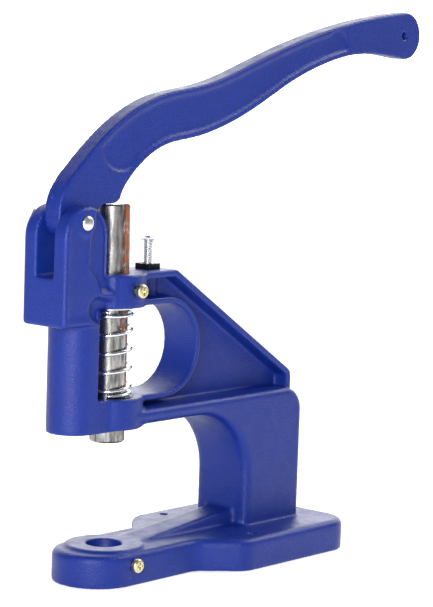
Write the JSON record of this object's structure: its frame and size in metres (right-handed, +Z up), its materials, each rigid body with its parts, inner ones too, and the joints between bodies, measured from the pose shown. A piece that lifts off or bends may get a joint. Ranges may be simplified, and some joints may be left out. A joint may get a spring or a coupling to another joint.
{
  "type": "arbor press",
  "caption": "Bench arbor press: a bent hand lever pushes a sprung round ram down through a cast frame onto a die seat in the foot.",
  "frame": {"origin": "on the ram's axis, in the bench face of the foot", "axes": "+Z up along the ram's axis; -X to the front, where the lever is hinged, +X to the column and the handle's end; +Y across, so that the heads of the side screws are on the -Y side"},
  "size_m": [0.3295, 0.092, 0.3251],
  "materials": {
    "frame_paint": "satin",
    "lever_paint": "satin",
    "bright_zinc": "satin",
    "yellow_zinc": "satin",
    "ram_steel": "satin",
    "spring_steel": "polished",
    "black_oxide": "satin"
  },
  "bodies": {
    "frame": {"frame_casting": "frame_paint", "pivot_bolt": "bright_zinc", "pivot_washer": "bright_zinc", "pivot_nut": "bright_zinc", "guide_screw": "yellow_zinc", "stop_lock_nut": "black_oxide", "spring_washer": "black_oxide", "return_spring": "spring_steel"},
    "lever": {"lever_arm": "lever_paint"},
    "ram": {"ram": "ram_steel", "ram_clip": "spring_steel"},
    "stop_screw": {"stop_screw": "bright_zinc"},
    "die_clamp_screw": {"die_clamp_screw": "yellow_zinc"}
  },
  "joints": [
    {"name": "lever_swing", "type": "hinge", "parent": "frame", "child": "lever", "pos_m": [-0.037, 0, 0.2048], "axis": [0, 1, 0], "range_deg": [0, 38]},
    {"name": "ram_stroke", "type": "slide", "parent": "frame", "child": "ram", "axis": [0, 0, -1], "range_m": [0, 0.0227], "stiffness_N_per_m": 4000, "springref_m": -0.006, "deforming": ["return_spring"]},
    {"name": "stop_screw_set", "type": "slide", "parent": "frame", "child": "stop_screw", "axis": [0, 0, -1], "range_m": [0, 0.008]},
    {"name": "die_clamp_back_off", "type": "slide", "parent": "frame", "child": "die_clamp_screw", "axis": [0, -1, 0], "range_m": [0, 0.006]}
  ],
  "couplings": [
    {"joint": "ram_stroke", "follows": "lever_swing", "m_per_rad": 0.0341}
  ]
}
